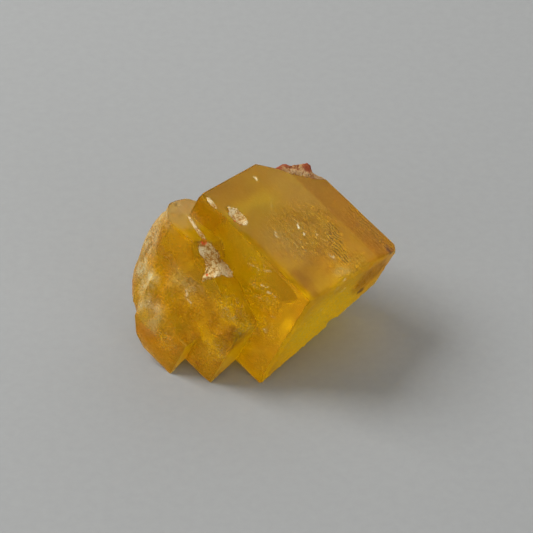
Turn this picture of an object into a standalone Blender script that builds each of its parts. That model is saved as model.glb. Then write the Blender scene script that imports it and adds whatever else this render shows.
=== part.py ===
# A small group of golden fluorite crystals grown in parallel, with crusts of another mineral.
# Everything is laid out in millimetres on the crystals' own three axes, square to each other:
# x runs along the upper face's front edge, y across that face to the back, and z out of it.
# The whole group is then turned to lie as it rests, on its three lower corners and its root.

import math

import bmesh
import bpy
from mathutils import Euler, Matrix, Vector, noise

MM = 0.001
SHARP_ANGLE = math.radians(40)

# How the group lies: the turn of its axes, and where the upper face's left corner comes.
REST_TURN = Euler((math.radians(-11.13), math.radians(20.9), math.radians(-41.79)))
CORNER_PLACE = Vector((-5.2, -6.9, 19.9)) * MM

# The largest crystal's three edges.
MAIN_LENGTH = 18.0
MAIN_DEPTH = 16.9
MAIN_HEIGHT = 14.8

# Two smaller crystals stand out in front of it like steps, each set lower and further left.
MIDDLE_OUT = 3.4
MIDDLE_RIGHT = 13.85
MIDDLE_BOTTOM = 17.1
FRONT_OUT = 4.95
FRONT_RIGHT = 9.65
FRONT_BOTTOM = 19.0
STEP_BACK = 4.0

# Low ledges where growth went on in parallel on its left and back faces: two corners of each.
LEFT_LEDGE = ((-1.9, 0.0, -16.5), (3.0, 11.4, -4.0))
BACK_LEDGE = ((8.2, 14.0, -12.5), (14.6, 17.7, -3.6))

# The stump at the back, where the group broke away from what it grew on.
ROOT_LOW = (1.4, 6.2, -20.0)
ROOT_HIGH = (9.6, 15.9, -12.0)

# Space kept between a crust and the crystal under it.
CRUST_GAP = 0.3

# Broken surfaces: each is a point on it and the way it faces.
BACK_BREAK = (Vector((0.0, 10.3, 0.0)), Vector((-0.62, 0.57, 0.54)))
CORNER_CHIP = (Vector((17.35, 16.9, 0.0)), Vector((0.62, 0.66, 0.43)))
UNDER_BREAK = (Vector((18.0, 0.0, -14.8)), Vector((0.662, 0.327, -0.675)))
TREAD = (Vector((0.0, 0.0, -3.45)), Vector((-0.13, 0.05, 0.99)))
GROOVE = (Vector((0.0, 0.0, -3.5)), Vector((0.2, 0.5, 0.84)))
MIDDLE_SLOPE = (Vector((4.0, -3.4, -2.6)), Vector((0.46, 0.11, 0.88)))
MIDDLE_UNDER = (Vector((13.85, -3.4, -17.1)), Vector((0.0, 0.56, -0.83)))
FRONT_SLOPE = (Vector((2.0, -4.95, -10.2)), Vector((0.36, -0.5, 0.79)))
FRONT_UNDER = (Vector((9.65, -4.95, -19.0)), Vector((0.0, 0.7, -0.71)))
FRONT_LEFT = (Vector((3.3, -4.95, -17.9)), Vector((-0.83, -0.15, -0.54)))
FRONT_LEFT_FOOT = (Vector((3.9, -4.95, -18.4)), Vector((-0.42, -0.1, -0.9)))
ROOT_FRONT = (Vector((5.5, 6.2, -15.0)), Vector((0.1, -0.8, -0.6)))
ROOT_LEFT = (Vector((1.4, 11.0, -15.5)), Vector((-0.85, 0.15, -0.5)))
LOBE_FOOT = (Vector((2.0, -2.0, -18.3)), Vector((-0.3, 0.25, -0.92)))
LEDGE_TOP = (Vector((-1.9, 1.5, -4.6)), Vector((-0.3, 0.3, 0.91)))
LEDGE_END = (Vector((-1.9, 4.6, -9.0)), Vector((-0.9, 0.35, -0.25)))
LEDGE_FOOT = (Vector((-1.9, 2.0, -12.5)), Vector((-0.7, 0.1, -0.7)))

# The rounded broken end at the left, as two lobes: the middle, radii and lean of each.
LOBES = (
    ((2.7, -0.4, -11.3), (5.4, 3.5, 11.2), (0, -8, 0)),
    ((0.7, 0.1, -6.2), (3.2, 3.7, 7.5), (0, -4, 0)),
)

# Shell-shaped hollows broken out of the faces: middle, radii and lean of each.
SCOOPS = (
    ((2.4, -4.5, -8.8), (3.0, 1.3, 1.9), (0, 25, 0)),
    ((6.6, -4.7, -8.2), (2.8, 1.7, 2.2), (0, 30, 0)),
    ((10.6, -4.5, -9.8), (3.0, 1.4, 1.8), (0, 42, 0)),
    ((8.6, -4.5, -12.4), (2.6, 1.4, 1.6), (0, 15, 0)),
    ((3.2, -5.8, -12.6), (1.9, 1.4, 3.0), (0, -20, 0)),
    ((6.4, -5.8, -13.9), (2.2, 1.2, 1.6), (0, 25, 0)),
    ((-1.5, -4.2, -9.6), (1.5, 1.8, 3.0), (0, -10, 20)),
    ((18.9, 4.6, -13.4), (1.1, 4.2, 1.3), (-26, 0, 0)),
    ((18.9, 11.2, -10.1), (1.1, 4.0, 1.2), (-26, 0, 0)),
    ((4.5, 1.65, 0.55), (1.9, 1.1, 0.9), (0, 0, 6)),
    ((1.7, -0.15, 0.25), (1.5, 0.35, 0.5), (0, 0, 0)),
    ((4.1, -0.5, -0.3), (1.2, 0.7, 0.9), (0, 20, 0)),
    ((6.5, 3.5, -16.6), (2.4, 2.0, 1.8), (0, 0, 30)),
    ((12.0, 9.0, -16.2), (3.2, 4.6, 2.0), (10, 20, 0)),
)

# Grains of the crust on the broken back corner: along it, down it, out of it, and radii.
BACK_GRAINS = (
    (5.4, 1.5, 0.0, (3.6, 2.1, 1.1)),
    (3.6, 2.0, 0.1, (2.1, 2.2, 0.9)),
    (7.3, 1.2, 0.1, (1.7, 1.5, 0.9)),
    (6.5, 0.5, 0.7, (0.9, 0.7, 0.8)),
    (4.7, 0.5, 0.5, (1.1, 0.7, 0.6)),
)

# The hollow broken into the middle crystal's upper edge, which the second crust lines.
CREVICE_HOLLOW = ((5.8, -3.3, -3.3), (2.3, 1.8, 1.7), (0, 35, 0))

# Grains of that crust, which also runs along the crevice: middle and radii.
CREVICE_GRAINS = (
    ((5.6, -2.9, -3.9), (1.7, 0.9, 1.3)),
    ((4.3, -1.9, -2.9), (1.4, 1.0, 0.9)),
    ((6.9, -2.1, -4.6), (1.9, 1.3, 0.9)),
    ((8.2, -1.3, -5.2), (1.1, 1.0, 0.8)),
)


def clear_scene():
    for item in list(bpy.data.objects):
        bpy.data.objects.remove(item, do_unlink=True)


def make_material(name, colour, roughness):
    material = bpy.data.materials.new(name)
    material.use_nodes = True
    shader = material.node_tree.nodes["Principled BSDF"]
    shader.inputs["Base Color"].default_value = (*colour, 1.0)
    shader.inputs["Roughness"].default_value = roughness
    shader.inputs["Metallic"].default_value = 0.0
    return material


def add_object(name, builder, cutter=False):
    # Makes an object of a mesh laid out in crystal millimetres, lying as the group rests.
    builder.transform(Matrix.Scale(MM, 4))
    bmesh.ops.recalc_face_normals(builder, faces=builder.faces)
    mesh = bpy.data.meshes.new(name)
    builder.to_mesh(mesh)
    builder.free()
    mesh.shade_smooth()
    mesh.set_sharp_from_angle(angle=SHARP_ANGLE)
    item = bpy.data.objects.new(name, mesh)
    item.rotation_euler = REST_TURN
    item.location = CORNER_PLACE
    bpy.context.scene.collection.objects.link(item)
    if cutter:
        item.hide_render = True
        item.display_type = "WIRE"
    return item


def add_tool(name, builder):
    return add_object(name, builder, cutter=True)


def break_off(builder, surface, grow):
    # Takes away what lies beyond a broken surface and closes the cut with one flat face.
    point, facing = surface
    facing = facing.normalized()
    everything = builder.verts[:] + builder.edges[:] + builder.faces[:]
    cut = bmesh.ops.bisect_plane(
        builder,
        geom=everything,
        dist=1e-6,
        plane_co=point + facing * grow,
        plane_no=facing,
        clear_outer=True,
    )
    rim = [part for part in cut["geom_cut"] if isinstance(part, bmesh.types.BMEdge)]
    if rim:
        bmesh.ops.contextual_create(builder, geom=rim)


def block(low, high, breaks, grow=0.0):
    # A box between two corners with flat breaks, all its faces moved out by grow.
    margin = Vector((grow, grow, grow))
    low = Vector(low) - margin
    high = Vector(high) + margin
    builder = bmesh.new()
    bmesh.ops.create_cube(builder, size=1.0)
    bmesh.ops.scale(builder, vec=high - low, verts=builder.verts)
    bmesh.ops.translate(builder, vec=(low + high) / 2, verts=builder.verts)
    for surface in breaks:
        break_off(builder, surface, grow)
    return builder


def pebble(middle, radii, turn, detail, lump, seed):
    # A lumpy ellipsoid: each of its points moves in or out by smooth noise.
    builder = bmesh.new()
    bmesh.ops.create_icosphere(builder, subdivisions=detail, radius=1.0)
    shift = Vector((3.1, 1.7, 2.3)) * seed
    for vert in builder.verts:
        vert.co *= 1.0 + lump * noise.noise(vert.co * 1.8 + shift)
    bmesh.ops.scale(builder, vec=radii, verts=builder.verts)
    bmesh.ops.rotate(builder, matrix=turn, verts=builder.verts)
    bmesh.ops.translate(builder, vec=middle, verts=builder.verts)
    return builder


def degrees_turn(angles):
    return Euler([math.radians(angle) for angle in angles]).to_matrix()


def combine(target, tools, operation):
    for tool in tools:
        step = target.modifiers.new(tool.name, "BOOLEAN")
        step.operation = operation
        step.solver = "EXACT"
        step.object = tool


def main_crystal(grow=0.0):
    low = (0.0, 0.0, -MAIN_HEIGHT)
    high = (MAIN_LENGTH, MAIN_DEPTH, 0.0)
    return block(low, high, (BACK_BREAK, CORNER_CHIP, UNDER_BREAK), grow)


def middle_crystal(grow=0.0):
    low = (0.0, -MIDDLE_OUT, -MIDDLE_BOTTOM)
    high = (MIDDLE_RIGHT, STEP_BACK, 0.0)
    return block(low, high, (TREAD, GROOVE, MIDDLE_SLOPE, MIDDLE_UNDER), grow)


def front_crystal():
    low = (1.2, -FRONT_OUT, -FRONT_BOTTOM)
    high = (FRONT_RIGHT, STEP_BACK, -6.0)
    return block(low, high, (FRONT_SLOPE, FRONT_UNDER, FRONT_LEFT, FRONT_LEFT_FOOT))


def left_ledge():
    low, high = LEFT_LEDGE
    return block(low, high, (LEDGE_TOP, LEDGE_END, LEDGE_FOOT))


def back_ledge():
    low, high = BACK_LEDGE
    return block(low, high, (UNDER_BREAK,))


def root():
    return block(ROOT_LOW, ROOT_HIGH, (ROOT_FRONT, ROOT_LEFT))


def lobe(number, grow=0.0):
    middle, radii, lean = LOBES[number]
    grown = Vector(radii) + Vector((grow, grow, grow))
    builder = pebble(middle, grown, degrees_turn(lean), 4, 0.08, 3 + number)
    break_off(builder, TREAD, grow)
    break_off(builder, LOBE_FOOT, grow)
    return builder


def crevice_hollow(shrink=0.0):
    middle, radii, lean = CREVICE_HOLLOW
    shrunk = Vector(radii) - Vector((shrink, shrink, shrink))
    return pebble(middle, shrunk, degrees_turn(lean), 3, 0.2, 11)


def ground():
    # Everything below the level that the group rests on.
    size = 60.0 * MM
    bpy.ops.mesh.primitive_cube_add(size=size, location=(0.0, 0.0, -size / 2))
    item = bpy.context.object
    item.name = "ground"
    item.hide_render = True
    item.display_type = "WIRE"
    return item


def build_crystals():
    crystals = add_object("fluorite_crystals", main_crystal())
    grown_on = [
        add_tool("middle_crystal", middle_crystal()),
        add_tool("front_crystal", front_crystal()),
        add_tool("lower_lobe", lobe(0)),
        add_tool("upper_lobe", lobe(1)),
        add_tool("left_ledge", left_ledge()),
        add_tool("back_ledge", back_ledge()),
        add_tool("root", root()),
    ]
    broken_off = [add_tool("crevice_hollow", crevice_hollow())]
    for number, (middle, radii, lean) in enumerate(SCOOPS):
        scoop = pebble(middle, radii, degrees_turn(lean), 3, 0.25, number)
        broken_off.append(add_tool(f"scoop_{number}", scoop))
    broken_off.append(ground())
    combine(crystals, grown_on, "UNION")
    combine(crystals, broken_off, "DIFFERENCE")
    return crystals


def clear_of_crystals(crust):
    # Cuts a crust back to where it would touch the crystals, less the gap.
    middle_space = add_tool(crust.name + "_middle_space", middle_crystal(CRUST_GAP))
    combine(middle_space, [add_tool("hollow_space", crevice_hollow(CRUST_GAP))], "DIFFERENCE")
    tools = [
        middle_space,
        add_tool("main_space", main_crystal(CRUST_GAP)),
        add_tool("lower_lobe_space", lobe(0, CRUST_GAP)),
        add_tool("upper_lobe_space", lobe(1, CRUST_GAP)),
    ]
    combine(crust, tools, "DIFFERENCE")


def build_back_crust():
    # Grains laid over the broken corner, from its upper edge down.
    point, facing = BACK_BREAK
    facing = facing.normalized()
    along = Vector((facing.y, -facing.x, 0.0)).normalized()
    down = facing.cross(along)
    turn = Matrix((along, down, facing)).transposed()
    grains = []
    for number, (run, drop, rise, radii) in enumerate(BACK_GRAINS):
        middle = point + along * run + down * drop + facing * (rise + CRUST_GAP)
        grains.append(pebble(middle, radii, turn, 3, 0.3, 20 + number))
    crust = add_object("matrix_crust", grains[0])
    more = [add_tool(f"back_grain_{number}", grain) for number, grain in enumerate(grains[1:])]
    combine(crust, more, "UNION")
    clear_of_crystals(crust)
    return crust


def build_crevice_crust():
    # Grains along the crevice, lower to the right as it drops.
    turn = degrees_turn((18, 26, 0))
    grains = []
    for number, (middle, radii) in enumerate(CREVICE_GRAINS):
        grains.append(pebble(middle, radii, turn, 3, 0.3, 40 + number))
    crust = add_object("crevice_crust", grains[0])
    more = [add_tool(f"crevice_grain_{number}", grain) for number, grain in enumerate(grains[1:])]
    combine(crust, more, "UNION")
    clear_of_crystals(crust)
    return crust


def main():
    clear_scene()
    crystals = build_crystals()
    crystals.data.materials.append(make_material("golden fluorite", (0.45, 0.21, 0.01), 0.1))
    back_crust = build_back_crust()
    back_crust.data.materials.append(make_material("pink crust", (0.55, 0.3, 0.2), 0.8))
    crevice_crust = build_crevice_crust()
    crevice_crust.data.materials.append(make_material("white crust", (0.6, 0.42, 0.25), 0.8))


main()
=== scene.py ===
import math

import bmesh
import bpy
import numpy as np
from mathutils import Euler, Matrix, Vector


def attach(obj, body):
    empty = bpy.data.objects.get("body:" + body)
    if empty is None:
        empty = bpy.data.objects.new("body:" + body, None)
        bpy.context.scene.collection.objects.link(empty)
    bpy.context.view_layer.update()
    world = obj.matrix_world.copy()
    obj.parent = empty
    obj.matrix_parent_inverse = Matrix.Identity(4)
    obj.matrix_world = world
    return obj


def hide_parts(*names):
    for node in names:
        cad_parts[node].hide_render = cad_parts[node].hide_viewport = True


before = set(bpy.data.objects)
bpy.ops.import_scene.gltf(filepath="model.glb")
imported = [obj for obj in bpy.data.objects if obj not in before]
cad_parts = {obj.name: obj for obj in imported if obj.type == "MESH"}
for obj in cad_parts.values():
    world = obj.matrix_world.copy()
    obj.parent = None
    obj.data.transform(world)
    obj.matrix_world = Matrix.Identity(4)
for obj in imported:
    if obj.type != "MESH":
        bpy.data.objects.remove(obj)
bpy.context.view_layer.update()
print("frame loaded")

mm = 0.001

# how the group lies: the crystals' own axes, with the upper face's left corner as their zero
rest = {
    "corner": (-5.2, -6.9, 19.9),  # mm
    "turn": (-11.13, 20.9, -41.79),  # degrees
    "length": 18.0,  # the large cube's three edges, mm
    "depth": 16.9,
    "height": 14.8,
}

restTurn = Euler([math.radians(angle) for angle in rest["turn"]])
restFrame = Matrix.LocRotScale(Vector(rest["corner"]) * mm, restTurn, Vector((mm, mm, mm)))


# small tools for arrays and meshes

latticeCells = 32  # a lattice repeats after this many cells
latticeShift = 1000.5  # keeps every place on it positive


def softStep(value, low, high):
    # 0 below low, 1 above high, and a smooth s between
    t = np.clip((value - low) / (high - low), 0.0, 1.0)
    return t * t * (3.0 - 2.0 * t)


def latticeNoise(points, size, seed):
    # value noise: a random height at each corner of a lattice of cubes, blended between corners by s curves
    grid = np.random.default_rng(seed).uniform(-1.0, 1.0, (latticeCells,) * 3)
    place = np.asarray(points, float) / size + latticeShift
    cell = np.floor(place).astype(int)
    part = place - cell
    part = part * part * (3.0 - 2.0 * part)
    total = np.zeros(len(place))
    for corner in np.ndindex(2, 2, 2):
        share = np.prod(np.where(np.array(corner) == 1, part, 1.0 - part), axis=1)
        index = (cell + np.array(corner)) % latticeCells
        total += share * grid[index[:, 0], index[:, 1], index[:, 2]]
    return total


def layeredNoise(points, size, seed, layers=4):
    # the same noise at sizes that halve, each half as strong as the last
    total = np.zeros(len(points))
    weight = 1.0
    reach = 0.0
    for layer in range(layers):
        total += weight * latticeNoise(points, size / 2.0 ** layer, seed + 17 * layer)
        reach += weight
        weight *= 0.5
    return total / reach


def nearestSeed(points, size, seed):
    # one seed point strewn in each cube of a lattice: the way to the nearest, and its own random numbers
    random = np.random.default_rng(seed)
    shift = random.uniform(0.1, 0.9, (latticeCells,) * 3 + (3,))
    marks = random.uniform(-1.0, 1.0, (latticeCells,) * 3 + (4,))
    place = np.asarray(points, float) / size + latticeShift
    cell = np.floor(place).astype(int)
    best = np.full(len(points), 9e9)
    way = np.zeros((len(points), 3))
    mark = np.zeros((len(points), 4))
    for step in np.ndindex(3, 3, 3):
        here = cell + np.array(step) - 1
        index = tuple((here % latticeCells).T)
        away = place - (here + shift[index])
        far = (away * away).sum(1)
        closer = far < best
        best = np.where(closer, far, best)
        way = np.where(closer[:, None], away, way)
        mark = np.where(closer[:, None], marks[index], mark)
    return way, mark


def flakes(points, size, seed):
    # every point takes the tilted plane of its nearest seed: flat flakes that meet at steps
    way, mark = nearestSeed(points, size, seed)
    height = mark[:, 3] + (mark[:, :3] * way).sum(1) * 2.0
    return np.clip(height / 1.6, -1.0, 1.0)


def grains(points, size, seed):
    # a dome over each seed, with the seed's own height and mark
    way, mark = nearestSeed(points, size, seed)
    far = np.linalg.norm(way, axis=1)
    dome = np.sqrt(np.clip(1.0 - (far / 0.8) ** 2, 0.0, 1.0))
    return dome * (0.7 + 0.3 * mark[:, 3]), mark[:, 0]


def arraysOf(mesh):
    points = np.empty(len(mesh.vertices) * 3)
    mesh.vertices.foreach_get("co", points)
    normals = np.empty(len(mesh.vertices) * 3)
    mesh.vertices.foreach_get("normal", normals)
    return points.reshape(-1, 3), normals.reshape(-1, 3)


def setPoints(mesh, points):
    mesh.vertices.foreach_set("co", np.ascontiguousarray(points, np.float32).ravel())
    mesh.update()


def setField(mesh, name, values):
    field = mesh.attributes.new(name, "FLOAT", "POINT")
    field.data.foreach_set("value", np.ascontiguousarray(values, np.float32))


def newPiece(name, mesh):
    piece = bpy.data.objects.new(name, mesh)
    bpy.context.scene.collection.objects.link(piece)
    return piece


# shader maths

class Wire:
    # wraps a socket, so that arithmetic on it adds Math nodes to its tree
    def __init__(self, tree, socket):
        self.tree = tree
        self.socket = socket

    def math(self, kind, *values):
        node = self.tree.nodes.new("ShaderNodeMath")
        node.operation = kind
        for slot, value in zip(node.inputs, values):
            if isinstance(value, Wire):
                self.tree.links.new(value.socket, slot)
            else:
                slot.default_value = value
        return Wire(self.tree, node.outputs[0])

    def __add__(self, other):
        return self.math("ADD", self, other)

    def __radd__(self, other):
        return self.math("ADD", other, self)

    def __sub__(self, other):
        return self.math("SUBTRACT", self, other)

    def __rsub__(self, other):
        return self.math("SUBTRACT", other, self)

    def __mul__(self, other):
        return self.math("MULTIPLY", self, other)

    def __rmul__(self, other):
        return self.math("MULTIPLY", other, self)

    def clamp(self):
        return self.math("MINIMUM", self.math("MAXIMUM", self, 0.0), 1.0)

    def least(self, other):
        return self.math("MINIMUM", self, other)

    def ramp(self, low, high):
        # 0 at low, 1 at high
        return ((self - low) * (1.0 / (high - low))).clamp()


class Shader:
    # builds one material's nodes
    def __init__(self, name):
        self.material = bpy.data.materials.new(name)
        self.material.use_nodes = True
        self.tree = self.material.node_tree
        self.tree.nodes.clear()

    def node(self, kind, settings=None, outlet=0, **values):
        made = self.tree.nodes.new("ShaderNode" + kind)
        for name, value in (settings or {}).items():
            setattr(made, name, value)
        for name, value in values.items():
            slot = self.slotOf(made, name)
            if isinstance(value, Wire):
                self.tree.links.new(value.socket, slot)
            else:
                slot.default_value = value
        return Wire(self.tree, made.outputs[outlet]) if len(made.outputs) else None

    def slotOf(self, made, name):
        # n3 is a node's fourth socket; any other name is the socket's own, with _ for a space
        if name[0] == "n" and name[1:].isdigit():
            return made.inputs[int(name[1:])]
        return made.inputs[name.replace("_", " ")]

    def mixColour(self, factor, first, second):
        return self.node("Mix", {"data_type": "RGBA"}, outlet=2, n0=factor, n6=first, n7=second)

    def field(self, name):
        made = self.tree.nodes.new("ShaderNodeAttribute")
        made.attribute_name = name
        return Wire(self.tree, made.outputs["Fac"])

    def crystalPlace(self):
        # Object coordinates turned back to the crystals' own axes, in mm
        place = self.node("TexCoord", outlet=3)
        return self.node(
            "Mapping", {"vector_type": "TEXTURE"}, Vector=place,
            Location=tuple(value * mm for value in rest["corner"]),
            Rotation=tuple(restTurn), Scale=(mm, mm, mm),
        )


def colour(red, green, blue):
    # screen values 0 to 255 to linear light
    def linear(value):
        value = value / 255.0
        return value / 12.92 if value <= 0.04045 else ((value + 0.055) / 1.055) ** 2.4

    return (linear(red), linear(green), linear(blue), 1.0)


# camera, floor and light

view = {
    "raised": 40.0,  # degrees above the floor
    "distance": 285.7224,  # mm
    "lens": 171.1,
    "sensor": 36.0,
    "aim": (2.25, -12.13, 13.67),  # mm
}

camera = bpy.data.objects.new("camera", bpy.data.cameras.new("camera"))
camera.data.lens = view["lens"]
camera.data.sensor_width = view["sensor"]
camera.data.clip_start = 0.01
raised = math.radians(view["raised"])
camera.rotation_euler = (math.pi / 2 - raised, 0.0, 0.0)
back = Vector((0.0, -math.cos(raised), math.sin(raised)))
camera.location = Vector(view["aim"]) * mm + back * (view["distance"] * mm)
bpy.context.scene.collection.objects.link(camera)
bpy.context.scene.camera = camera

studio = {
    "floorSize": 3.0,  # metres
    "floorColour": colour(152, 153, 152),
    "grainColour": colour(130, 131, 130),
    "grainAmount": 0.16,
    "grainScale": 900.0,  # per metre
    "sky": 0.37,
    "softboxes": (  # name, place, height of the point it faces, size, power: metres and watts
        ("softboxLeft", (-0.38, 0.16, 0.42), 0.0, (0.34, 0.34), 3.5),
        ("softboxFront", (-0.4, -0.42, 0.22), 0.01, (0.5, 0.3), 0.6),
        ("softboxRight", (0.38, -0.46, 0.14), 0.01, (0.4, 0.3), 0.8),
        ("softboxBack", (0.3, 0.42, 0.36), 0.0, (0.9, 0.5), 1.0),
    ),
}


def buildFloor():
    builder = bmesh.new()
    bmesh.ops.create_grid(builder, x_segments=1, y_segments=1, size=studio["floorSize"] / 2)
    mesh = bpy.data.meshes.new("floor")
    builder.to_mesh(mesh)
    builder.free()
    floor = newPiece("floor", mesh)
    paint = Shader("paleFloor")
    place = paint.node("TexCoord", outlet=3)
    grain = paint.node("TexNoise", Vector=place, Scale=studio["grainScale"], Detail=3.0, Roughness=0.6)
    amount = grain.ramp(0.3, 0.7) * studio["grainAmount"]
    shade = paint.mixColour(amount, studio["floorColour"], studio["grainColour"])
    surface = paint.node("BsdfPrincipled", Base_Color=shade, Roughness=0.85)
    paint.node("OutputMaterial", Surface=surface)
    mesh.materials.append(paint.material)


def areaLight(name, place, aimHeight, size, power):
    data = bpy.data.lights.new(name, "AREA")
    data.shape = "RECTANGLE"
    data.size = size[0]
    data.size_y = size[1]
    data.energy = power
    light = bpy.data.objects.new(name, data)
    light.location = place
    away = Vector(place) - Vector((0.0, 0.0, aimHeight))
    light.rotation_euler = away.to_track_quat("Z", "Y").to_euler()
    bpy.context.scene.collection.objects.link(light)


def buildLight():
    world = bpy.data.worlds.new("studio")
    bpy.context.scene.world = world
    world.use_nodes = True
    shade = world.node_tree.nodes["Background"]
    shade.inputs["Color"].default_value = (1.0, 1.0, 1.0, 1.0)
    shade.inputs["Strength"].default_value = studio["sky"]
    for softbox in studio["softboxes"]:
        areaLight(*softbox)
    bpy.context.scene.view_settings.view_transform = "Standard"


buildFloor()
buildLight()
print("stage ready")


# the crystals: colours are screen values, or linear light where they tint glass

crystal = {
    "cells": 7,  # octree depth of the fine mesh
    "fill": 0.99,  # share of the octree's box that the mesh fills
    "ior": 1.434,
    "absorb": 450.0,  # per metre
    "tint": (0.990, 0.976, 0.05),  # the colour that absorption leaves
    "clear": (1.0, 0.745, 0.34, 1.0),
    "amber": (0.94, 0.52, 0.2, 1.0),
    "sheen": (1.0, 0.82, 0.2, 1.0),  # tint of its reflections
    "gold": colour(232, 184, 14),
    "deep": colour(216, 140, 8),
    "giltAndGlow": colour(252, 208, 24),  # the bright grainy skin of the right side, brightened as painted glow of light coming through; also painted highlights on the comb and the flakes inside
    "paintedGlow": colour(238, 172, 10),  # painted glow: the fuller gold where light shines through the front faces' lower corners and the right end
    # a dull tan bloom, greyed as painted reflection of the sky
    "hazeAndReflection": colour(198, 162, 84),
    "dark": colour(112, 72, 8),  # etched strokes, and painted shade in hollows
    "cream": colour(204, 188, 138),
    # painted highlight: the colour of the glints
    "glint": colour(252, 244, 206),
    # brown warmth, and painted shade at the junction between the small cubes
    "rustAndShade": colour(142, 80, 12),
    "stain": colour(104, 58, 40),
    "faceRough": 0.28,
    "frontRough": 0.16,
    "brokenRough": 0.55,
    "milkRough": 0.5,
    "sharpAngle": 30.0,  # degrees
}

milkiness = {  # from clear 0 to milky 1: what each face starts with, and what each thing adds
    "bright": 0.20,  # the faces that look up and forwards
    "hidden": 0.30,  # the faces underneath and behind
    "cloud": 0.10,
    "hiddenCloud": 0.15,
    "top": -0.05,
    "largeFront": 0.02,
    "right": 0.2,
    "broken": 0.23,
    "brokenCloud": 0.4,
    "etched": 0.06,
    "etchedCloud": 0.14,
    "hazeAndReflection": 0.12,
    "giltAndGlow": 0.3,
    "paintedGlow": 0.2,
    "rustAndShade": 0.2,
    "stain": 0.4,
    "frost": 0.3,
    "shade": 0.35,
}

growthPlanes = (  # the axis across each flat growth face, and its level in crystal mm
    (2, 0.0), (1, 0.0), (0, rest["length"]), (0, 0.0), (1, rest["depth"]), (2, -rest["height"]),
    (1, -3.4), (0, 13.85), (1, -4.95), (0, 9.65), (1, 17.7), (0, -1.9), (0, 8.2), (2, -3.6),
)

smoothBreaks = (  # flat cleavage planes that cross the corners: a point on each, and the way it faces
    ((0.0, 10.3, 0.0), (-0.62, 0.57, 0.54)),
    ((17.35, 16.9, 0.0), (0.62, 0.66, 0.43)),
    ((18.0, 0.0, -14.8), (0.662, 0.327, -0.675)),
    ((0.0, 0.0, -3.45), (-0.13, 0.05, 0.99)),
    ((0.0, 0.0, -3.5), (0.2, 0.5, 0.84)),
    ((4.0, -3.4, -2.6), (0.46, 0.11, 0.88)),
)

broken = {  # relief of the breaks: how large its features are and how deep, in mm
    "chunk": 1.9,
    "chunkDepth": 0.07,
    "flake": 0.8,
    "flakeDepth": 0.035,
    "lump": 2.8,
    "lumpDepth": 0.22,
    "wave": 2.2,  # on every break that isn't flat
    "waveDepth": 0.10,
    "grain": 1.1,  # on the right side
    "grainDepth": 0.06,
    "scoop": 2.4,  # on the hollow underside
    "scoopDepth": 0.3,
    "etch": 1.0,
    "etchDepth": 0.03,
}

hollows = {  # balls that are smoothed: middle, reach and how soft their edge is
    "crevice": ((5.0, -1.9, -3.9), (2.9, 2.4, 2.2), 0.5),
    "underside": ((12.0, 9.0, -15.2), (7.6, 9.0, 3.0), 0.4),
    "rounds": 40,
    "undersideRounds": 140,
}

wornEdges = (  # chipped edges: the axis along each, its levels on the other two, width, strength, seed
    (0, (0.0, 0.0), 0.75, 0.35, 21),
    (2, (18.0, 0.0), 0.22, 1.0, 22),
    (0, (-3.4, -3.2), 0.35, 1.0, 24),
    (1, (-1.9, -16.5), 1.3, 1.0, 25),
    (2, (-1.9, 0.0), 0.9, 1.0, 26),
)

softEdges = (  # edges worn round: start, end, width in crystal mm
    ((7.5, 0.0, 0.0), (18.0, 0.0, 0.0), 1.0),
    ((18.0, 0.0, 0.0), (18.0, 13.6, 0.0), 1.0),
    ((18.0, 0.0, 0.0), (18.0, 0.0, -14.0), 0.4),
    ((-0.2, -3.4, -16.7), (0.6, -3.4, -16.7), 1.9),
    ((-1.9, -2.4, -16.5), (-1.9, 6.0, -16.5), 0.8),
    ((-1.9, 0.0, -12.0), (-1.9, 0.0, -3.4), 0.6),
)

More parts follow.
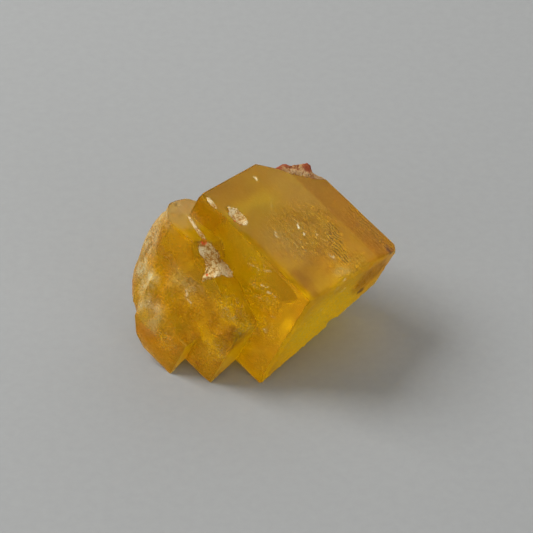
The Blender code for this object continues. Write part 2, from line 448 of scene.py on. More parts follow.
zones = {  # what covers the surface where, as soft balls in crystal mm: middle, reach, strength
    "smash": (  # the broken front of the small cubes
        ((5.5, -4.5, -10.8), (6.5, 4.0, 4.6), 1.0),
        ((1.2, -3.5, -12.0), (3.4, 4.5, 5.4), 1.0),
        ((11.0, -4.0, -8.4), (4.6, 3.0, 3.0), 1.0),
        ((11.4, -3.6, -6.2), (2.8, 2.4, 2.4), 0.8),
        ((11.8, -2.0, -7.0), (3.6, 2.8, 2.2), 0.8),
    ),
    "frost": (  # pale frosted patches
        ((-1.6, -1.8, -10.5), (2.8, 3.8, 6.4), 1.25),
        ((1.0, -4.0, -11.4), (2.0, 2.0, 1.8), 1.6),
        ((2.2, -4.9, -14.2), (2.6, 2.4, 2.6), 0.9),
        ((5.0, -3.8, -8.4), (3.6, 2.4, 2.8), 0.45),
        ((4.2, -4.95, -14.8), (2.0, 1.8, 3.2), 0.8),
        ((0.6, -3.0, -12.6), (2.0, 3.0, 3.0), 0.9),
        ((10.6, 7.6, 0.0), (5.2, 6.5, 1.5), 0.12),
        ((-1.0, -0.4, -3.5), (3.5, 6.0, 1.6), 0.7),
        ((-1.9, -0.4, -6.6), (2.0, 4.6, 4.4), 0.9),
        ((17.0, 7.2, 0.0), (0.8, 2.0, 1.0), 0.5),
    ),
    "hazeAndReflection": (  # a dull bloom on the upper face, greyed as painted reflection of the sky
        ((4.6, 12.0, 0.0), (6.0, 4.5, 2.0), 0.8),
        ((11.0, 3.4, 0.0), (5.5, 4.4, 1.6), 0.8),
    ),
    "giltAndGlow": (  # bright grainy skin, brightened as painted glow of light coming through
        ((18.0, 7.5, -7.0), (2.0, 12.0, 9.5), 1.0),
        ((17.4, 8.6, 0.0), (2.4, 4.2, 1.6), 0.55),
        ((13.85, -1.7, -7.0), (1.8, 2.6, 5.4), 0.7),
    ),
    "paintedGlow": (  # painted glow: fuller gold where light shines through
        ((10.8, -1.8, -6.2), (4.4, 2.4, 2.4), 0.55),
        ((16.4, 0.0, -12.8), (2.6, 1.6, 3.4), 0.5),
        ((18.0, 14.6, -2.8), (1.4, 5.0, 4.4), 1.2),
        ((11.0, -3.4, -15.6), (3.0, 1.6, 3.0), 0.75),
        ((2.0, -3.4, -4.2), (3.8, 1.2, 3.6), 0.75),
        ((7.6, 0.0, -5.2), (2.8, 1.2, 2.0), 0.7),
        ((12.8, 0.0, -7.6), (2.2, 1.2, 1.8), 0.6),
        ((7.4, -4.95, -17.4), (3.0, 1.2, 2.4), 0.65),
    ),
    "rustAndShade": (  # brown warmth inside; at the junction between the small cubes it is painted shade
        # painted shade at the junction between the small cubes
        ((13.2, -3.2, -10.0), (3.0, 2.2, 2.6), 1.0),
        ((6.4, -4.9, -17.6), (3.4, 2.0, 2.8), 0.2),
        ((11.6, -3.4, -15.4), (3.2, 1.5, 2.8), 0.15),
        ((18.0, 14.8, -2.6), (1.4, 2.4, 2.4), 0.7),
        ((15.4, 1.6, 0.0), (4.0, 1.6, 1.2), 0.7),
        ((14.6, 6.6, 0.0), (3.6, 7.0, 1.2), 0.6),
        ((12.2, 2.6, 0.0), (4.4, 2.6, 1.2), 0.4),
        ((18.0, 13.4, -3.0), (1.4, 4.4, 3.2), 0.7),
        # painted shade at the junction between the small cubes
        ((13.0, -3.4, -10.4), (2.4, 1.6, 3.0), 0.6),
        ((2.0, 4.2, 0.0), (2.8, 4.4, 1.5), 0.5),
        ((1.4, 0.0, -2.0), (2.2, 1.2, 2.4), 0.45),
        ((9.6, 0.0, -6.6), (2.4, 1.2, 3.2), 0.4),
        ((7.4, 0.0, -2.8), (3.6, 1.2, 3.0), 0.5),
        ((2.6, -3.4, -4.8), (4.0, 1.2, 2.6), 0.3),
        ((5.0, 0.0, -3.4), (6.0, 1.6, 5.0), 0.5),
        ((8.0, -3.8, -10.4), (5.0, 3.0, 4.4), 0.55),
    ),
    "shade": (  # painted shade: darker hollows, the junction between the small cubes and the upper face's right side
        ((14.2, -3.0, -6.4), (1.6, 2.0, 2.6), 0.5),
        ((13.4, -3.4, -8.8), (1.8, 1.6, 2.4), 0.7),
        ((12.6, -3.4, -11.0), (1.7, 1.6, 2.6), 0.75),
        ((10.4, -3.4, -9.6), (1.8, 1.6, 1.4), 0.3),
        ((7.4, -3.6, -8.6), (2.2, 1.6, 1.6), 0.35),
        ((15.6, 4.4, 0.0), (3.4, 4.6, 1.0), 0.34),
        ((16.6, 10.2, 0.0), (1.8, 3.4, 1.0), 0.34),
        ((10.8, -3.4, -7.2), (1.8, 1.4, 1.6), 0.35),
        ((10.8, -3.8, -10.9), (1.8, 1.4, 1.8), 0.4),
        ((3.4, -4.9, -13.0), (1.6, 1.4, 1.2), 0.3),
        ((5.6, -4.9, -15.6), (2.4, 1.4, 1.2), 0.25),
    ),
    "stain": (  # red and purple specks
        ((17.6, 15.9, 0.0), (1.0, 1.0, 0.9), 1.0),
        ((18.0, 13.6, -5.7), (0.9, 1.2, 0.7), 0.7),
        ((11.3, -3.4, -16.0), (0.6, 0.5, 0.5), 1.0),
    ),
    "etch": (  # fine etching on the upper face
        ((10.6, 7.6, 0.0), (6.0, 7.0, 1.5), 1.0),
        ((16.6, 8.8, 0.0), (3.0, 4.0, 1.5), 0.8),
        ((14.6, 15.2, 0.0), (5.4, 2.8, 1.2), 0.7),
    ),
    "crack": (  # cracks inside, where bright threads and flakes of light are painted
        ((12.9, 0.0, -9.6), (3.0, 2.0, 3.0), 1.0),
        ((13.85, -1.7, -7.6), (1.8, 2.6, 5.4), 1.0),
        ((11.0, -1.8, -6.4), (4.4, 2.6, 2.8), 1.0),
        ((13.0, 0.0, -4.2), (3.2, 2.0, 2.2), 0.9),
        ((15.4, 0.0, -8.2), (2.6, 1.6, 2.4), 0.6),
        ((10.2, 0.0, -1.7), (3.0, 1.2, 1.6), 0.6),
        ((7.2, -4.95, -15.4), (2.6, 1.5, 1.8), 0.8),
        ((12.2, -3.4, -12.6), (2.4, 1.5, 2.6), 0.7),
        ((17.0, 0.0, -12.4), (1.8, 1.5, 2.4), 0.5),
        ((5.4, -3.4, -8.2), (3.0, 1.5, 1.6), 0.5),
    ),
}

combs = {  # bands of stepped strokes on the upper face, with painted highlights between them: start, end, width
    "middle": ((11.6, 11.2, 0.0), (15.2, 9.0, 0.0), 1.3),
    "edge": ((11.0, 15.9, 0.0), (17.4, 15.9, 0.0), 0.8),
}

glints = (  # painted glints: short bright highlight strokes just under the surface: start, end in crystal mm, width, strength
    ((1.2, 8.6, 0.0), (1.8, 8.4, 0.0), 0.13, 1.0),
    ((4.4, 8.1, 0.0), (5.7, 6.8, 0.0), 0.10, 0.55),
    ((8.4, 8.0, 0.0), (8.9, 7.9, 0.0), 0.11, 0.7),
    ((8.9, 7.9, 0.0), (9.4, 7.2, 0.0), 0.16, 1.0),
    ((8.6, 4.1, 0.0), (8.8, 4.0, 0.0), 0.14, 1.0),
    ((8.9, 3.7, 0.0), (9.1, 3.6, 0.0), 0.12, 0.6),
    ((10.5, 7.3, 0.0), (10.6, 7.2, 0.0), 0.15, 1.0),
    ((11.2, 8.8, 0.0), (11.4, 8.7, 0.0), 0.12, 0.7),
    ((12.0, 6.0, 0.0), (12.2, 5.9, 0.0), 0.12, 0.7),
    ((14.0, 8.6, 0.0), (15.6, 7.4, 0.0), 0.11, 0.6),
    ((13.8, 7.8, 0.0), (14.6, 7.6, 0.0), 0.13, 0.7),
    ((14.8, 7.7, 0.0), (15.5, 7.6, 0.0), 0.12, 0.8),
    ((17.7, 6.9, 0.0), (17.9, 6.2, 0.0), 0.14, 0.8),
    ((18.0, 6.0, -0.4), (18.0, 5.4, -1.0), 0.13, 0.6),
    ((18.0, 7.6, -2.2), (18.0, 7.2, -2.6), 0.13, 0.6),
    ((18.0, 5.1, -3.8), (18.0, 4.7, -4.4), 0.14, 0.7),
    ((9.1, 0.0, -2.5), (10.6, 0.0, -2.0), 0.11, 0.35),
    ((10.6, 0.0, -2.0), (12.6, 0.0, -0.6), 0.11, 0.3),
    ((11.6, 0.0, -3.5), (12.6, 0.0, -3.1), 0.12, 0.7),
    ((12.9, 0.0, -3.6), (14.0, 0.0, -3.2), 0.12, 0.6),
    ((13.9, 0.0, -6.1), (15.4, 0.0, -5.6), 0.11, 0.4),
    ((5.2, -3.4, -8.9), (5.9, -3.4, -9.9), 0.11, 0.5),
    ((5.9, -3.4, -9.9), (6.9, -3.4, -10.2), 0.13, 0.7),
    ((14.9, 0.0, -8.0), (15.1, 0.0, -8.2), 0.14, 0.8),
)


def fineCrystalMesh():
    # the frame's solid, stood square on the crystals' axes and cut into small even faces
    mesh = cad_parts["fluorite_crystals"].data.copy()
    builder = bmesh.new()
    builder.from_mesh(mesh)
    bmesh.ops.remove_doubles(builder, verts=builder.verts, dist=1e-7)
    builder.transform(restFrame.inverted())
    builder.to_mesh(mesh)
    builder.free()
    rough = newPiece("roughCrystals", mesh)
    cells = rough.modifiers.new("cells", "REMESH")
    cells.mode = "SHARP"
    cells.octree_depth = crystal["cells"]
    cells.scale = crystal["fill"]
    cells.use_remove_disconnected = False
    graph = bpy.context.evaluated_depsgraph_get()
    fine = bpy.data.meshes.new_from_object(rough.evaluated_get(graph))
    fine.name = "crystals"
    bpy.data.objects.remove(rough)
    return fine


def relaxed(mesh, points, share, rounds):
    # each point moves part of the way to the middle of its neighbours, round after round
    pairs = np.empty(len(mesh.edges) * 2, int)
    mesh.edges.foreach_get("vertices", pairs)
    first, second = pairs.reshape(-1, 2).T
    count = np.bincount(pairs, minlength=len(points))[:, None]
    for _ in range(rounds):
        total = np.column_stack([
            np.bincount(first, points[second, axis], len(points))
            + np.bincount(second, points[first, axis], len(points))
            for axis in range(3)
        ])
        points = points + 0.8 * share[:, None] * (total / count - points)
    return points


def flatFaces(points, normals):
    # 1 on flat growth faces, 0 on broken surfaces
    mask = np.zeros(len(points))
    for axis, level in growthPlanes:
        near = 1.0 - softStep(np.abs(points[:, axis] - level), 0.04, 0.1)
        square = softStep(np.abs(normals[:, axis]), 0.5, 0.8)
        mask = np.maximum(mask, near * square)
    for middle, direction in smoothBreaks:
        direction = np.array(direction) / np.linalg.norm(direction)
        near = 1.0 - softStep(np.abs((points - np.array(middle)) @ direction), 0.05, 0.12)
        mask = np.maximum(mask, near * softStep(normals @ direction, 0.8, 0.95))
    return mask


def softBall(points, middle, reach, edge):
    # 1 inside an egg of that middle and reach, falling to 0 at its skin
    away = np.linalg.norm((points - np.array(middle)) / np.array(reach), axis=1)
    return 1.0 - softStep(away, 1.0 - edge, 1.0)


def edgeWear(points, alongAxis, levels, reach, seed):
    # how deep a worn edge cuts: a wandering width, largest on the edge itself
    others = [axis for axis in range(3) if axis != alongAxis]
    away = np.hypot(points[:, others[0]] - levels[0], points[:, others[1]] - levels[1])
    along = np.zeros_like(points)
    along[:, alongAxis] = points[:, alongAxis]
    width = reach * (0.35 + 0.65 * np.clip(latticeNoise(along, 1.3, seed) + 0.3, 0.0, 1.0))
    return np.clip(width - away, 0.0, None)


def nearLine(points, start, end, width):
    # 1 on a short line, 0 a width away from it
    start = np.array(start)
    way = np.array(end) - start
    along = np.clip((points - start) @ way / (way @ way), 0.0, 1.0)
    away = np.linalg.norm(points - start - along[:, None] * way, axis=1)
    return 1.0 - softStep(away, 0.4 * width, 1.2 * width)


def zoneFields(points):
    # how strongly each kind of zone covers each point, with edges that wander by about a millimetre
    fields = {name: np.zeros(len(points)) for name in zones}
    strayed = points + 1.1 * np.column_stack([layeredNoise(points, 2.6, 70 + axis) for axis in range(3)])
    for name, balls in zones.items():
        for middle, reach, strength in balls:
            fields[name] = np.maximum(fields[name], softBall(strayed, middle, reach, 0.7) * strength)
    fields["smash"] *= softStep(-points[:, 1], 0.6, 2.0)
    fields["scoop"] = softBall(points, *hollows["underside"])
    return fields


def wornDown(mesh, points, fields):
    # the smashed front, the crevice's hollow and the soft edges are smoothed, and the underside more
    worn = np.maximum(softStep(fields["smash"], 0.0, 0.5), softBall(points, *hollows["crevice"]))
    for start, end, width in softEdges:
        worn = np.maximum(worn, nearLine(points, start, end, width))
    points = relaxed(mesh, points, worn, hollows["rounds"])
    return relaxed(mesh, points, fields["scoop"], hollows["undersideRounds"])


def faceFields(points, normals, fields):
    # which way each point faces: 1 on the faces named, 0 elsewhere
    frontal = softStep(-normals[:, 1], 0.7, 0.9)
    fields["top"] = softStep(normals[:, 2], 0.5, 0.9) * softStep(points[:, 2], -1.2, -0.5)
    fields["right"] = softStep(normals[:, 0], 0.4, 0.8) * softStep(points[:, 0], 16.0, 17.2)
    fields["largeFront"] = frontal * softStep(points[:, 1], -0.6, -0.2)
    fields["front"] = frontal * (1.0 - fields["smash"])
    fields["under"] = softStep(np.max(normals * np.array((-1.0, 1.0, -1.0)), axis=1), 0.3, 0.7)
    fields["rear"] = fields["under"] * (1.0 - fields["smash"])
    fields["etch"] *= fields["top"]


def reliefOf(points, fields):
    # height along the normal: flakes and lumps on the smashed front, waves on the other breaks,
    # less the worn edges
    smash, right, scoop = fields["smash"], fields["right"], fields["scoop"]
    relief = smash * broken["chunkDepth"] * (flakes(points, broken["chunk"], 5) - 0.7)
    relief += smash * broken["flakeDepth"] * (flakes(points, broken["flake"], 6) - 0.3)
    relief += smash * broken["lumpDepth"] * (layeredNoise(points, broken["lump"], 4, layers=2) - 0.6)
    wave = layeredNoise(points, broken["wave"], 3, layers=2) - 0.5
    relief += (1.0 - fields["flat"]) * broken["waveDepth"] * wave
    relief += right * broken["grainDepth"] * (flakes(points, broken["grain"], 8) - 1.0)
    relief += scoop * broken["scoopDepth"] * (layeredNoise(points, broken["scoop"], 7, layers=3) - 0.8)
    relief += fields["etch"] * broken["etchDepth"] * flakes(points, broken["etch"], 9)
    for along, levels, reach, strength, seed in wornEdges:
        relief -= strength * edgeWear(points, along, levels, reach, seed)
    return relief


def milkOf(points, fields):
    # how milky each point is: its face's own share, and what lies there
    under = fields["under"]
    veil = milkiness["bright"] + (milkiness["hidden"] - milkiness["bright"]) * under
    veil += (milkiness["cloud"] + milkiness["hiddenCloud"] * under) * fields["cloud"]
    for name in ("top", "largeFront", "right", "hazeAndReflection", "giltAndGlow", "paintedGlow", "rustAndShade", "stain", "frost", "shade"):
        veil += milkiness[name] * fields[name]
    brokenCloud = layeredNoise(points, 1.6, 31, layers=3)
    etchedCloud = layeredNoise(points, 0.9, 36, layers=1)
    veil += fields["smash"] * (milkiness["broken"] + milkiness["brokenCloud"] * brokenCloud)
    veil += fields["etch"] * (milkiness["etched"] + milkiness["etchedCloud"] * etchedCloud)
    return np.clip(veil, 0.02, 0.92)


def lineFields(points, fields):
    # the painted glints and the combs, on points bent a little so that no line is straight
    bent = points + 0.28 * np.column_stack([latticeNoise(points, 0.7, 60 + axis) for axis in range(3)])
    fields["glint"] = np.zeros(len(points))
    for start, end, width, strength in glints:
        fields["glint"] = np.maximum(fields["glint"], strength * nearLine(bent, start, end, width))
    gaps = softStep(latticeNoise(points, 1.0, 65), -0.8, -0.2)
    comb = nearLine(bent, *combs["middle"]) * gaps
    fields["comb"] = np.maximum(comb, 0.5 * nearLine(bent, *combs["edge"]))


skinFields = (  # what the material reads from the mesh
    "rugged", "veil", "frost", "hazeAndReflection", "giltAndGlow", "paintedGlow", "rustAndShade", "stain", "shade", "comb", "glint", "etch",
    "crack", "front", "rear",
)


def buildCrystals():
    mesh = fineCrystalMesh()
    points, normals = arraysOf(mesh)
    print("crystal mesh:", len(points), "points", points.min(0).round(2), points.max(0).round(2))
    fields = zoneFields(points)
    fields["flat"] = np.maximum(flatFaces(points, normals), fields["scoop"])
    setPoints(mesh, wornDown(mesh, points, fields))
    points, normals = arraysOf(mesh)
    faceFields(points, normals, fields)
    relief = reliefOf(points, fields)
    band = fields["top"] * softStep(points[:, 1], 13.0, 13.6)  # the orange band along the right edge
    fields["cloud"] = layeredNoise(points, 4.5, 32, layers=2)
    # the grainy skin and its painted glow stay on faces that look right or up
    fields["giltAndGlow"] *= np.maximum(fields["right"], softStep(normals[:, 0] + normals[:, 2], 0.5, 0.9))
    fields["frost"] *= 0.7 + 0.7 * layeredNoise(points, 1.3, 33, layers=2)
    fields["rustAndShade"] = np.maximum(fields["rustAndShade"] * (0.8 + 0.3 * latticeNoise(points, 0.9, 34)), 0.7 * band)
    fields["veil"] = milkOf(points, fields)
    lineFields(points, fields)
    rugged = np.maximum(np.maximum(1.0 - fields["flat"], fields["smash"]), 0.5 * fields["etch"])
    rugged = np.maximum(rugged, fields["under"] * (0.1 + 0.4 * softStep(fields["cloud"], 0.0, 0.4)))
    fields["rugged"] = np.maximum(rugged, fields["giltAndGlow"])
    fields["frost"] = np.clip(fields["frost"], 0.0, 1.0)
    fields["rustAndShade"] = np.clip(fields["rustAndShade"], 0.0, 1.0)
    fields["stain"] = np.clip(1.3 * fields["stain"], 0.0, 1.0)
    for name in skinFields:
        setField(mesh, name, fields[name])
    setPoints(mesh, points + normals * relief[:, None])
    mesh.transform(restFrame)
    points, normals = arraysOf(mesh)
    points[:, 2] = np.maximum(points[:, 2], 0.0)  # nothing below what it rests on
    setPoints(mesh, points)
    mesh.shade_smooth()
    mesh.set_sharp_from_angle(angle=math.radians(crystal["sharpAngle"]))
    piece = newPiece("goldenCrystals", mesh)
    mesh.materials.clear()
    mesh.materials.append(crystalFinish())
    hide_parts("fluorite_crystals")
    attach(piece, "root")
    return piece


skin = {  # the patterns' scales, per mm, and how milky each mark is
    "fine": 2.2,
    "soft": 0.45,
    "grit": 3.8,
    "speckle": 4.5,
    "web": 0.8,
    "mosaic": 0.36,  # the square growth steps behind
    "drawnOut": (0.8, 3.4, 3.0),  # threads run along the large cube's front edge
    "combLines": 13.0,  # radians per mm
    "combBend": 22.0,  # how far the soft noise bends them
    "combFray": 7.0,  # and the fine noise
    "webSharp": 26.0,  # how thin the threads of the inner web are
    "bump": 0.6,
    "bumpHeight": 0.0002,  # metres
    "giltRough": 0.2,
    "threadMilk": 0.6,
    "speckleMilk": 0.25,
    "strokeMilk": 0.6,
    "glintMilk": 0.7,
    "gleamMilk": 0.5,
    "flakeMilk": 0.35,
    "wispMilk": 0.45,
}


def crystalFinish():
    paint = Shader("goldenFluorite")
    place = paint.crystalPlace()
    rugged, veil, frost, hazeAndReflection, giltAndGlow, paintedGlow, rustAndShade, stain, paintedShade, comb, glint, etch, crack, front, rear = (
        paint.field(name) for name in skinFields)
    # patterns
    fine = paint.node("TexNoise", Vector=place, Scale=skin["fine"], Detail=4.0, Roughness=0.6)
    soft = paint.node("TexNoise", Vector=place, Scale=skin["soft"], Detail=2.0, Roughness=0.5)
    grit = paint.node("TexNoise", Vector=place, Scale=skin["grit"], Detail=2.0, Roughness=0.6)
    grit = grit.ramp(0.32, 0.68)
    speckle = paint.node("TexNoise", Vector=place, Scale=skin["speckle"], Detail=2.0, Roughness=0.5)
    speckle = speckle.ramp(0.58, 0.72)
    drawn = paint.node("Mapping", Vector=place, Rotation=(0.0, 0.0, 0.2), Scale=skin["drawnOut"])
    thread = paint.node("TexNoise", Vector=drawn, Scale=1.0, Detail=3.0, Roughness=0.65, Distortion=0.6)
    thread = thread.ramp(0.32, 0.68)
    across = paint.node("SeparateXYZ", outlet=1, Vector=place)
    bend = soft * skin["combBend"] + fine * skin["combFray"]
    wave = across.math("SINE", across * skin["combLines"] + bend)
    stroke = comb * wave.ramp(0.1, 0.8) * (thread + 0.5).clamp()
    # painted highlight: the bright side of the comb's steps
    gleam = comb * wave.ramp(-0.4, -0.9) * grit
    web = paint.node("TexNoise", Vector=place, Scale=skin["web"], Detail=4.0, Roughness=0.6, Distortion=1.6)
    # painted reflections: thin bright threads and flakes where cracks inside catch the light
    wisp = crack * (1.0 - web.math("ABSOLUTE", web - 0.5) * skin["webSharp"]).clamp() * fine.ramp(0.4, 0.55)
    flake = crack * grit * soft.ramp(0.35, 0.6)
    mosaic = paint.node(
        "TexVoronoi", {"distance": "CHEBYCHEV"}, Vector=place, Scale=skin["mosaic"], Randomness=0.8,
    )
    # relief and gloss
    rough = crystal["faceRough"] + rugged * (crystal["brokenRough"] - crystal["faceRough"])
    rough = rough + giltAndGlow * skin["giltRough"] + front * (crystal["frontRough"] - crystal["faceRough"])
    height = (fine + grit * 0.4) * (0.12 + rugged - rear * 0.09) + thread * etch * 1.2
    height = height - stroke + flake * 0.5 + wisp + mosaic * rear * 1.4
    bump = paint.node("Bump", Strength=skin["bump"], Distance=skin["bumpHeight"], Height=height)
    # the clear crystal
    warmth = rustAndShade + stroke * 0.8 + stain + paintedShade + front * 0.2 + rugged * 0.3
    tint = paint.mixColour(warmth.clamp(), crystal["clear"], crystal["amber"])
    glass = paint.node(
        "BsdfPrincipled", Base_Color=tint, Roughness=rough, IOR=crystal["ior"],
        Transmission_Weight=1.0, Specular_Tint=crystal["sheen"], Normal=bump,
    )
    # the milk, each colour laid over the last
    depth = soft.ramp(0.35, 0.65) * 0.5 + front * 0.4 + rugged * 0.3
    pale = frost * fine.ramp(0.2, 0.5) + speckle * (etch * 0.5 + rugged * 0.3)
    pale = pale + thread * grit * etch * 0.3 + wisp * 0.6
    shade = paint.mixColour(depth.clamp(), crystal["gold"], crystal["deep"])
    # the layers include painted glow, painted sky reflection, painted shade and painted highlights of
    # flakes, gleams, wisps and glints
    for cover, name in (
        (giltAndGlow, "giltAndGlow"), (giltAndGlow * (1.0 - grit) * 0.15, "rustAndShade"), (paintedGlow, "paintedGlow"), (hazeAndReflection * 0.8, "hazeAndReflection"),
        (rustAndShade, "rustAndShade"), ((stroke + paintedShade).clamp(), "dark"), (stain, "stain"),
        ((gleam + flake * 0.7).clamp(), "giltAndGlow"), (pale.clamp(), "cream"), (glint, "glint"),
    ):
        shade = paint.mixColour(cover, shade, crystal[name])
    milk = paint.node(
        "BsdfPrincipled", Base_Color=shade, Roughness=crystal["milkRough"], IOR=crystal["ior"], Normal=bump,
        Specular_IOR_Level=0.1, Specular_Tint=crystal["sheen"],
    )
    # how much of each
    mottle = (fine - 0.5) * (0.3 + rugged * 0.6) + (grit - 0.5) * (0.06 + rugged * 0.4 + etch * 0.25)
    marks = (thread - 0.5) * etch * skin["threadMilk"] + speckle * etch * skin["speckleMilk"]
    marks = marks + stroke * skin["strokeMilk"] + glint * skin["glintMilk"] + gleam * skin["gleamMilk"]
    marks = marks + flake * skin["flakeMilk"] + wisp * skin["wispMilk"]
    factor = (veil + mottle + marks).clamp()
    surface = paint.node("MixShader", n0=factor, n1=glass, n2=milk)
    inside = paint.node("VolumeAbsorption", Color=(*crystal["tint"], 1.0), Density=crystal["absorb"])
    paint.node("OutputMaterial", Surface=surface, Volume=inside)
    return paint.material


crystals = buildCrystals()
print("crystals built")


# the crusts: sheets of grains that lie on the crystals

crust = {  # shared by all the sheets
    "rings": 44,
    "spokes": 180,
    "wander": 0.16,  # how far the rim strays, as a share of its radius
    "dome": 0.26,  # height of a grain, as a share of its size
    "small": 0.14,  # the same for the small grains between
    "smallSize": 0.45,  # their size, as a share of a grain's
    "ridgeWidth": 0.75,  # mm
    "sunk": 0.05,  # how deep the rim lies under the skin, mm
    "underRim": 0.12,  # how deep the underside lies there
    "underMiddle": 0.25,  # and how much deeper further in
    "probeHeight": 8.0,  # mm above the plan, from where the skin is felt
    "fine": 4.5,  # the patterns' scales, per mm
    "patch": 1.7,
    "bump": 0.35,
    "bumpHeight": 0.0001,  # metres
    "rough": 0.7,
}

whiteTones = {
    "bright": colour(246, 232, 192),
    "pale": colour(214, 186, 128),
    "warm": colour(190, 142, 68),
    "dark": colour(162, 112, 38),
    "ruddy": colour(214, 84, 26),
}

pinkTones = {
    "bright": colour(210, 180, 132),
    "pale": colour(176, 136, 86),
    "warm": colour(156, 100, 50),
    "dark": colour(130, 72, 32),
    "ruddy": colour(150, 66, 28),
}

sheetView = {  # the direction from which the crevice's sheets are laid on: their own flat plan, in mm
    "middle": view["aim"],
    "along": (1.0, 0.0, 0.0),
    "out": (0.0, -0.766, 0.643),
}

creviceSheets = (  # thickness, grain size, outline in the plan, and the ruddy and pale spots in it: all mm
    {"seed": 1, "thick": 0.04, "grain": 0.26, "fill": 40, "outline": (
        (-7.95, 2.54), (-7.65, 3.1), (-7.05, 3.3), (-6.26, 2.86), (-5.58, 1.86), (-4.79, 0.73),
        (-4.0, -0.39), (-3.5, -1.3), (-3.78, -1.64), (-4.57, -1.3), (-5.58, -1.3), (-6.71, -1.5),
        (-7.2, -1.7), (-7.28, -1.3), (-6.9, -0.39), (-7.1, 0.73), (-7.61, 1.64)),
     "ruddy": ((-7.05, 2.8, 0.4), (-6.7, -0.95, 0.15)),
     "pale": ((-4.5, -0.5, 1.1), (-5.6, -1.0, 0.5), (-7.3, 1.7, 0.5))},
    {"seed": 2, "thick": 0.0, "grain": 0.18, "fill": 12, "outline": (
        (-9.12, 5.98), (-8.82, 5.96), (-7.9, 4.62), (-6.9, 3.4), (-6.45, 2.6), (-7.1, 2.8),
        (-8.2, 4.3), (-9.0, 5.45)),
     "ruddy": (), "pale": ((-8.4, 4.9, 0.8),)},
    {"seed": 3, "thick": 0.0, "grain": 0.24, "fill": 8, "outline": (
        (-4.6, 7.0), (-3.33, 6.65), (-2.1, 5.58), (-1.95, 4.4), (-2.43, 4.3), (-3.6, 4.95), (-4.4, 5.81)),
     "ruddy": ((-3.0, 4.6, 0.14), (-3.6, 5.1, 0.14)), "pale": ((-4.0, 6.4, 0.6), (-2.3, 4.9, 0.4))},
    {"seed": 4, "thick": 0.0, "grain": 0.16, "fill": 6, "outline": (
        (-6.9, 8.0), (-6.45, 7.84), (-5.85, 7.16), (-5.25, 6.3), (-5.55, 6.2), (-6.3, 6.9), (-6.78, 7.5)),
     "ruddy": (), "pale": ((-6.4, 7.4, 0.5),)},
)


def planFrame(plan, middle):
    # a sheet's own axes: those of its plan, moved to the sheet's middle, with z out of it
    out = Vector(plan["out"]).normalized()
    along = Vector(plan["along"])
    along = (along - out * along.dot(out)).normalized()
    across = out.cross(along)
    start = Vector(plan["middle"]) + along * middle[0] + across * middle[1]
    axes = Matrix((along, across, out)).transposed().to_4x4()
    return Matrix.Translation(start * mm) @ axes @ Matrix.Scale(mm, 4)


def groundUnder(plane, frameMatrix, host):
    # how high the host's skin lies under each point of a sheet, in the sheet's own axes
    high = crust["probeHeight"]
    mesh = bpy.data.meshes.new("probe")
    mesh.from_pydata(np.column_stack((plane, np.full(len(plane), high))).tolist(), [], [])
    probe = newPiece("probe", mesh)
    probe.matrix_world = frameMatrix
    wrap = probe.modifiers.new("wrap", "SHRINKWRAP")
    wrap.target = host
    wrap.wrap_method = "PROJECT"
    wrap.use_project_z = True
    wrap.use_negative_direction = True
    wrap.use_positive_direction = False
    bpy.context.view_layer.update()
    graph = bpy.context.evaluated_depsgraph_get()
    landed, _ = arraysOf(probe.evaluated_get(graph).data)
    bpy.data.objects.remove(probe)
    ground = landed[:, 2]
    missed = ground > high - 0.01
    return np.where(missed, ground[~missed].min() if (~missed).any() else 0.0, ground)


def outlineReach(angle, corners):
    # how far a straight-sided outline lies from its middle in each direction: where the ray meets a side
    side = np.roll(corners, -1, axis=0) - corners
    way = np.column_stack((np.cos(angle), np.sin(angle)))[:, None]
    cross = way[..., 0] * side[:, 1] - way[..., 1] * side[:, 0]
    reach = (corners[:, 0] * side[:, 1] - corners[:, 1] * side[:, 0]) / cross
    share = (corners[:, 0] * way[..., 1] - corners[:, 1] * way[..., 0]) / cross
    met = (share > -1e-6) & (share < 1.0 + 1e-6) & (reach > 0.0)
    return np.where(met, reach, 0.0).max(axis=1)


def rimRadii(sheet, angle, corners):
    # the outline's reach in each direction, smoothed twice, that strays in and out along the rim
    radii = outlineReach(angle, corners)
    for _ in range(2):
        radii = (np.roll(radii, 1) + radii + np.roll(radii, -1)) / 3.0
    circle = np.column_stack((np.cos(angle), np.sin(angle), np.full(len(angle), 1.7)))
    return radii * (1.0 + crust["wander"] * latticeNoise(circle * 4.0, 1.0, sheet["seed"]))


def filledHollows(ground, rings, spokes, rounds):
    # the crust fills the hollows of the skin under it: each round takes a mean with the neighbours round
    # and across the rings, and never sinks more than 0.03 mm under the skin
    bare = ground[1:].reshape(rings, spokes)
    net = bare.copy()
    for _ in range(rounds):
        net = (net + np.roll(net, 1, 1) + np.roll(net, -1, 1)) / 3.0
        net[1:-1] = (net[:-2] + 2.0 * net[1:-1] + net[2:]) / 4.0
        net = np.maximum(net, bare - 0.03)
    return np.concatenate(([net[0].mean()], net.ravel()))


def netFaces(rings, spokes):
    # a net of rings round a middle point, the same net less its last ring below, and a rim that joins them
    spoke = np.arange(spokes)
    after = (spoke + 1) % spokes
    ring = 1 + np.arange(rings - 1)[:, None] * spokes
    corners = (ring + spoke, ring + spokes + spoke, ring + spokes + after, ring + after)
    quads = np.stack(corners, -1).reshape(-1, 4)
    under = 1 + rings * spokes
    quadsUnder = quads[: (rings - 2) * spokes, ::-1] + under
    rimIn = under + 1 + (rings - 2) * spokes
    rimOut = 1 + (rings - 1) * spokes
    rim = np.stack((rimOut + spoke, rimIn + spoke, rimIn + after, rimOut + after), -1)
    fans = np.stack((np.zeros(spokes, int), 1 + spoke, 1 + after), -1)
    fansUnder = np.stack((np.full(spokes, under), under + 1 + after, under + 1 + spoke), -1)
    return quads.tolist() + quadsUnder.tolist() + rim.tolist() + fans.tolist() + fansUnder.tolist()


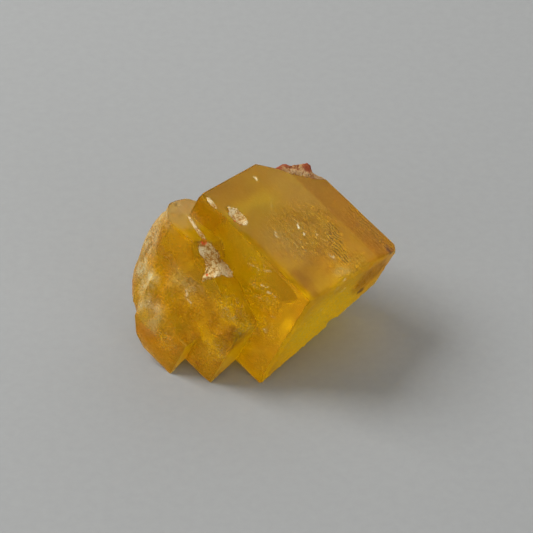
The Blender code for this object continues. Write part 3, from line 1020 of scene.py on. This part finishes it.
def grainSheet(sheet, plan, host):
    # rings and spokes: each point lies at share r of the outline's radius in its direction, on the host's
    # skin, raised by the sheet's thickness, which falls to nothing at the rim, and by a dome over each
    # grain; the underside is the same net a little under the skin
    rings, spokes = sheet.get("rings", crust["rings"]), sheet.get("spokes", crust["spokes"])
    angle = np.linspace(0.0, 2.0 * np.pi, spokes, endpoint=False)
    outline = np.array(sheet["outline"])
    middle = outline.mean(0)
    radii = rimRadii(sheet, angle, outline - middle)
    share = (np.arange(rings) + 1.0) / rings
    x = (share[:, None] * radii * np.cos(angle)).ravel()
    y = (share[:, None] * radii * np.sin(angle)).ravel()
    plane = np.vstack(([[0.0, 0.0]], np.column_stack((x, y))))
    axes = planFrame(plan, middle)
    ground = filledHollows(groundUnder(plane, axes, host), rings, spokes, sheet["fill"])
    inward = np.concatenate(([1.0], np.repeat(1.0 - share, spokes)))
    rise = softStep(inward, 0.0, 0.3)
    spot = np.column_stack((plane, ground)) + sheet["seed"] * 7.3
    dome, mark = grains(spot, sheet["grain"], sheet["seed"])
    small, tone = grains(spot, sheet["grain"] * crust["smallSize"], sheet["seed"] + 50)
    patches = layeredNoise(spot, 1.1, sheet["seed"] + 90, layers=2)
    thick = sheet["thick"] * (0.55 + 0.8 * patches)
    if "crest" in sheet:
        crest = np.interp(plane[:, 0], *np.array(sheet["crest"]).T)
        thick = thick + crest * np.exp(-((plane[:, 1] - sheet["ridge"]) / crust["ridgeWidth"]) ** 2)
    height = (thick + sheet["grain"] * (crust["dome"] * dome + crust["small"] * small)) * rise
    height = height - crust["sunk"] * (1.0 - rise)
    top = np.column_stack((plane, ground + height))
    bottom = np.column_stack((plane, ground - crust["underMiddle"] * rise - crust["underRim"]))
    points = np.vstack((top, bottom[:1 + (rings - 1) * spokes]))
    world = points @ np.array(axes.to_3x3()).T + np.array(axes.translation)
    fields = {"mark": mark * 0.5 + tone * 0.5, "inward": inward}
    for name in ("ruddy", "pale"):
        fields[name] = np.zeros(len(top))
        for spotX, spotY, reach in sheet[name]:
            away = np.hypot(plane[:, 0] + middle[0] - spotX, plane[:, 1] + middle[1] - spotY)
            fields[name] = np.maximum(fields[name], 1.0 - softStep(away, 0.5 * reach, 1.3 * reach))
    blank = np.zeros(len(points) - len(top))
    fields = {name: np.concatenate((values, blank)) for name, values in fields.items()}
    return world, netFaces(rings, spokes), fields


def buildCrust(name, node, sheets, plan, host, finish):
    points, faces, fields = [], [], []
    for sheet in sheets:
        first = sum(len(part) for part in points)
        place, net, marks = grainSheet(sheet, plan, host)
        points.append(place)
        faces += [tuple(corner + first for corner in face) for face in net]
        fields.append(marks)
    mesh = bpy.data.meshes.new(name)
    mesh.from_pydata(np.vstack(points).tolist(), [], faces)
    mesh.shade_smooth()
    for field in fields[0]:
        setField(mesh, field, np.concatenate([marks[field] for marks in fields]))
    mesh.materials.append(finish)
    piece = newPiece(name, mesh)
    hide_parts(node)
    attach(piece, "root")
    print(name, len(mesh.vertices), "points")
    return piece


def crustFinish(name, tones):
    paint = Shader(name)
    mark = paint.field("mark")
    pale = paint.field("pale")
    place = paint.crystalPlace()
    fine = paint.node("TexNoise", Vector=place, Scale=crust["fine"], Detail=3.0, Roughness=0.65)
    patch = paint.node("TexNoise", Vector=place, Scale=crust["patch"], Detail=3.0, Roughness=0.6)
    shade = paint.mixColour((mark * 0.6 + fine + pale * 0.25).ramp(0.35, 0.7), tones["warm"], tones["pale"])
    shade = paint.mixColour((patch - mark * 0.3 - pale * 0.35).ramp(0.5, 0.62), shade, tones["dark"])
    shade = paint.mixColour((pale * fine.ramp(0.4, 0.62) * 0.6).clamp(), shade, tones["bright"])
    shade = paint.mixColour((paint.field("ruddy") * fine.ramp(0.25, 0.45)).clamp(), shade, tones["ruddy"])
    bump = paint.node("Bump", Strength=crust["bump"], Distance=crust["bumpHeight"], Height=fine)
    # the rim breaks up into single grains
    cover = (paint.field("inward") * 5.0).least(0.75) + fine * 1.8 + patch * 1.2 - 1.72
    surface = paint.node(
        "BsdfPrincipled", Base_Color=shade, Roughness=crust["rough"], Specular_IOR_Level=0.3, Normal=bump,
        Alpha=cover.ramp(0.0, 0.4),
    )
    paint.node("OutputMaterial", Surface=surface)
    return paint.material


def backPlan():
    # along the broken corner's upper edge, looking down between the two faces that meet there
    edge = Vector((0.57, 0.62, 0.0)).normalized()
    facing = Vector((-0.62, 0.57, 0.54)).normalized()
    out = (facing + Vector((0.0, 0.0, 1.0)) * 0.9).normalized()
    turned = restTurn.to_matrix()
    middle = Vector(rest["corner"]) + turned @ Vector((0.0, 10.3, 0.0))
    return {"middle": middle, "along": turned @ edge, "out": turned @ out}


backSheets = (
    {"seed": 11, "thick": 0.12, "grain": 0.42, "fill": 3, "ridge": 0.5, "rings": 64, "spokes": 260,
     "crest": (  # height along the sheet
         (-3.8, 0.0), (-2.5, 0.75), (-1.85, 1.0), (-1.2, 0.85), (-0.2, 1.25), (0.65, 1.55),
         (1.15, 1.45), (1.6, 0.65), (2.6, 0.4), (3.8, 0.0)),
     "outline": ((1.7, 0.2), (3.2, -0.15), (4.6, -0.4), (6.2, -0.35), (7.8, -0.35), (9.7, -0.1), (9.6, 0.5),
                 (7.9, 1.9), (6.2, 2.5), (4.4, 2.2), (2.8, 1.2)),
     "ruddy": ((2.6, 0.4, 0.9), (3.9, 1.2, 0.8), (6.6, 0.9, 0.7), (5.6, 1.6, 0.5), (7.2, 1.4, 0.6)),
     "pale": ((8.6, 0.0, 1.4), (4.6, -0.3, 0.7), (6.0, -0.2, 0.7))},
)

whiteCrust = crustFinish("whiteCrust", whiteTones)
pinkCrust = crustFinish("pinkCrust", pinkTones)
buildCrust("creviceCrust", "crevice_crust", creviceSheets, sheetView, crystals, whiteCrust)
buildCrust("matrixCrust", "matrix_crust", backSheets, backPlan(), crystals, pinkCrust)
print("crusts built")
